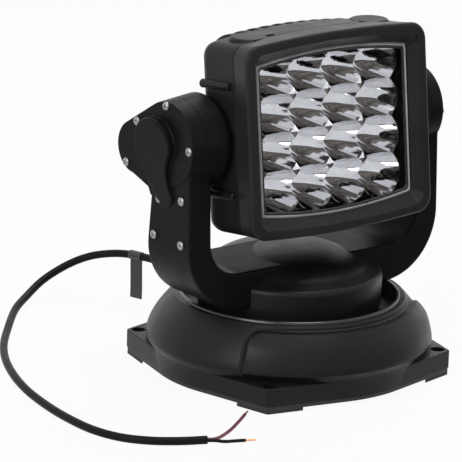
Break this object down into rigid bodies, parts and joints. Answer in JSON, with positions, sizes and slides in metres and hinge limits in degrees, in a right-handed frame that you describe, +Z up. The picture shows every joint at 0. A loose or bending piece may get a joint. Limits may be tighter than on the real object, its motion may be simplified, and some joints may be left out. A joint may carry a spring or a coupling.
{
  "type": "marine searchlight",
  "caption": "Remote-controlled LED searchlight: a square lamp head with a chrome reflector array tilts in a U-shaped yoke that turns on a bell-shaped base with bolt ears.",
  "frame": {"origin": "centre of the four mounting holes, in the plane that the feet stand on", "axes": "+Z up along the pan axis, -Y the way the lamp faces, X along the tilt axis"},
  "size_m": [0.3076, 0.3303, 0.2418],
  "materials": {
    "black_moulding": "fine spark-eroded matt black",
    "dark_moulding": "matt",
    "black_casting": "black powder coat",
    "lip": "satin",
    "rubber": "matt",
    "steel": "plated",
    "aluminium": "machined",
    "bronze": "machined",
    "gear_plastic": "acetal",
    "motor_can": "satin",
    "circuit_board": "solder mask",
    "lens": "clear",
    "reflector": "vacuum-metallised mirror",
    "led_board": "white solder mask",
    "led": "silicone dome",
    "washer": "smooth",
    "cable_jacket": "satin PVC",
    "red_insulation": "satin PVC",
    "copper": "bare strands",
    "tag": "blank film"
  },
  "bodies": {
    "base": {"base_housing": "black_moulding", "base_plate": "dark_moulding", "base_feet": "rubber", "base_seal": "rubber", "base_screws": "steel", "rim_ring": "lip", "cable_gland": "rubber", "pan_bush": "bronze", "pan_motor": "motor_can", "control_board": "circuit_board", "power_cable": "cable_jacket", "red_wire": "red_insulation", "black_wire": "cable_jacket", "wire_tips": "copper", "cable_tag": "tag"},
    "yoke": {"yoke_frame": "black_moulding", "left_arm_cover": "black_moulding", "right_arm_cover": "black_moulding", "left_cover_screws": "steel", "right_cover_screws": "steel", "pan_spindle": "aluminium", "spindle_screws": "steel", "pan_gear": "gear_plastic", "retaining_ring": "steel", "left_bush": "bronze", "right_bush": "bronze", "tilt_motor": "motor_can", "idler_pin": "steel"},
    "head": {"head_housing": "black_casting", "bezel": "black_moulding", "bezel_screws": "steel", "lens": "lens", "lens_gasket": "rubber", "reflector": "reflector", "led_board": "led_board", "leds": "led", "left_pivot": "aluminium", "right_pivot": "aluminium", "pivot_screws": "steel", "pivot_clips": "steel", "thrust_washers": "washer", "tilt_gear": "gear_plastic"},
    "pan_drive": {"pan_pinion": "bronze"},
    "tilt_drive": {"tilt_pinion": "bronze"},
    "idler": {"tilt_idler": "gear_plastic"}
  },
  "joints": [
    {"name": "pan", "type": "hinge", "parent": "base", "child": "yoke", "pos_m": [0, 0, 0.047], "axis": [0, 0, 1], "range_deg": [-180, 180]},
    {"name": "tilt", "type": "hinge", "parent": "yoke", "child": "head", "pos_m": [0, 0, 0.1693], "axis": [-1, 0, 0], "range_deg": [-26.7, 93.3]},
    {"name": "pan_pinion_spin", "type": "hinge", "parent": "base", "child": "pan_drive", "pos_m": [0.04, 0, 0.016], "axis": [0, 0, 1], "range_deg": [-725, 725]},
    {"name": "idler_spin", "type": "hinge", "parent": "yoke", "child": "idler", "pos_m": [-0.1, 0.02287, 0.16316], "axis": [-1, 0, 0], "range_deg": [-250, 76]},
    {"name": "tilt_pinion_spin", "type": "hinge", "parent": "yoke", "child": "tilt_drive", "pos_m": [-0.1, 0.0365, 0.1595], "axis": [-1, 0, 0], "range_deg": [-66, 218]}
  ],
  "couplings": [
    {"joint": "pan_pinion_spin", "follows": "pan", "ratio": -4},
    {"joint": "idler_spin", "follows": "tilt", "ratio": -2.6154},
    {"joint": "tilt_pinion_spin", "follows": "tilt", "ratio": 2.2667}
  ]
}
